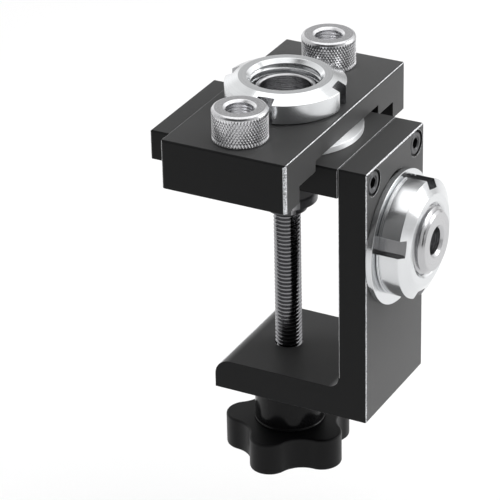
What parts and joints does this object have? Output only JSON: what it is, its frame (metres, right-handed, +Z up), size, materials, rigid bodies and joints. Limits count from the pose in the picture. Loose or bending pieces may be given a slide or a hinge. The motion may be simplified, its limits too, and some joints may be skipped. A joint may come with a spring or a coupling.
{
  "type": "self centering doweling jig",
  "caption": "Black and silver dowelling jig that clamps on a board's edge, with a sliding drill block, ring nuts, bushings and a star knob.",
  "frame": {"origin": "middle of the corner where the rail's underside meets the leg's inner face, so the board's face is z = 0 and the board's edge is x = 0", "axes": "+X out from the board's edge along the edge guide, +Y along the board's edge, +Z up along the cam guide, away from the board's face"},
  "size_m": [0.0815, 0.077, 0.1245],
  "materials": {
    "black_anodised": "satin",
    "polished_steel": "polished",
    "sleeve_steel": "satin",
    "bushing_steel": "satin",
    "dark_steel": "satin",
    "screw_steel": "satin",
    "gloss_black": "gloss",
    "satin_black": "satin"
  },
  "bodies": {
    "frame": {"clamp_frame": "black_anodised", "top_rail": "black_anodised", "rail_screws": "dark_steel"},
    "carriage": {"drill_block": "black_anodised", "cam_guide_sleeve": "sleeve_steel", "cam_washer": "polished_steel"},
    "cam_nut": {"cam_ring_nut": "polished_steel"},
    "front_bushing": {"front_dowel_bushing": "bushing_steel"},
    "rear_bushing": {"rear_dowel_bushing": "bushing_steel"},
    "edge_guide": {"edge_guide_sleeve": "sleeve_steel", "edge_washer": "polished_steel"},
    "edge_nut": {"edge_ring_nut": "polished_steel"},
    "pad": {"pressure_pad": "dark_steel"},
    "screw": {"clamp_screw": "screw_steel", "knob_hub": "gloss_black", "star_knob": "satin_black"}
  },
  "joints": [
    {"name": "block_slide", "type": "slide", "parent": "frame", "child": "carriage", "axis": [1, 0, 0], "range_m": [-0.0154, 0.0046]},
    {"name": "cam_nut_turn", "type": "hinge", "parent": "carriage", "child": "cam_nut", "pos_m": [-0.0256, 0, 0.02125], "axis": [0, 0, 1], "range_deg": [0, 360]},
    {"name": "front_bushing_lift", "type": "slide", "parent": "carriage", "child": "front_bushing", "axis": [0, 0, 1], "range_m": [0, 0.02]},
    {"name": "rear_bushing_lift", "type": "slide", "parent": "carriage", "child": "rear_bushing", "axis": [0, 0, 1], "range_m": [0, 0.02]},
    {"name": "edge_guide_slide", "type": "slide", "parent": "frame", "child": "edge_guide", "axis": [0, 0, 1], "range_m": [-0.0096, 0.0094]},
    {"name": "edge_nut_turn", "type": "hinge", "parent": "edge_guide", "child": "edge_nut", "pos_m": [0.0154, 0, -0.0176], "axis": [1, 0, 0], "range_deg": [0, 360]},
    {"name": "clamp_feed", "type": "slide", "parent": "frame", "child": "pad", "axis": [0, 0, 1], "range_m": [-0.044, 0.0037]},
    {"name": "clamp_turn", "type": "hinge", "parent": "pad", "child": "screw", "pos_m": [-0.0257, 0, -0.05], "axis": [0, 0, 1], "range_deg": [-12673, 1066]}
  ],
  "couplings": [
    {"joint": "clamp_turn", "follows": "clamp_feed", "rad_per_m": 5026.5}
  ]
}
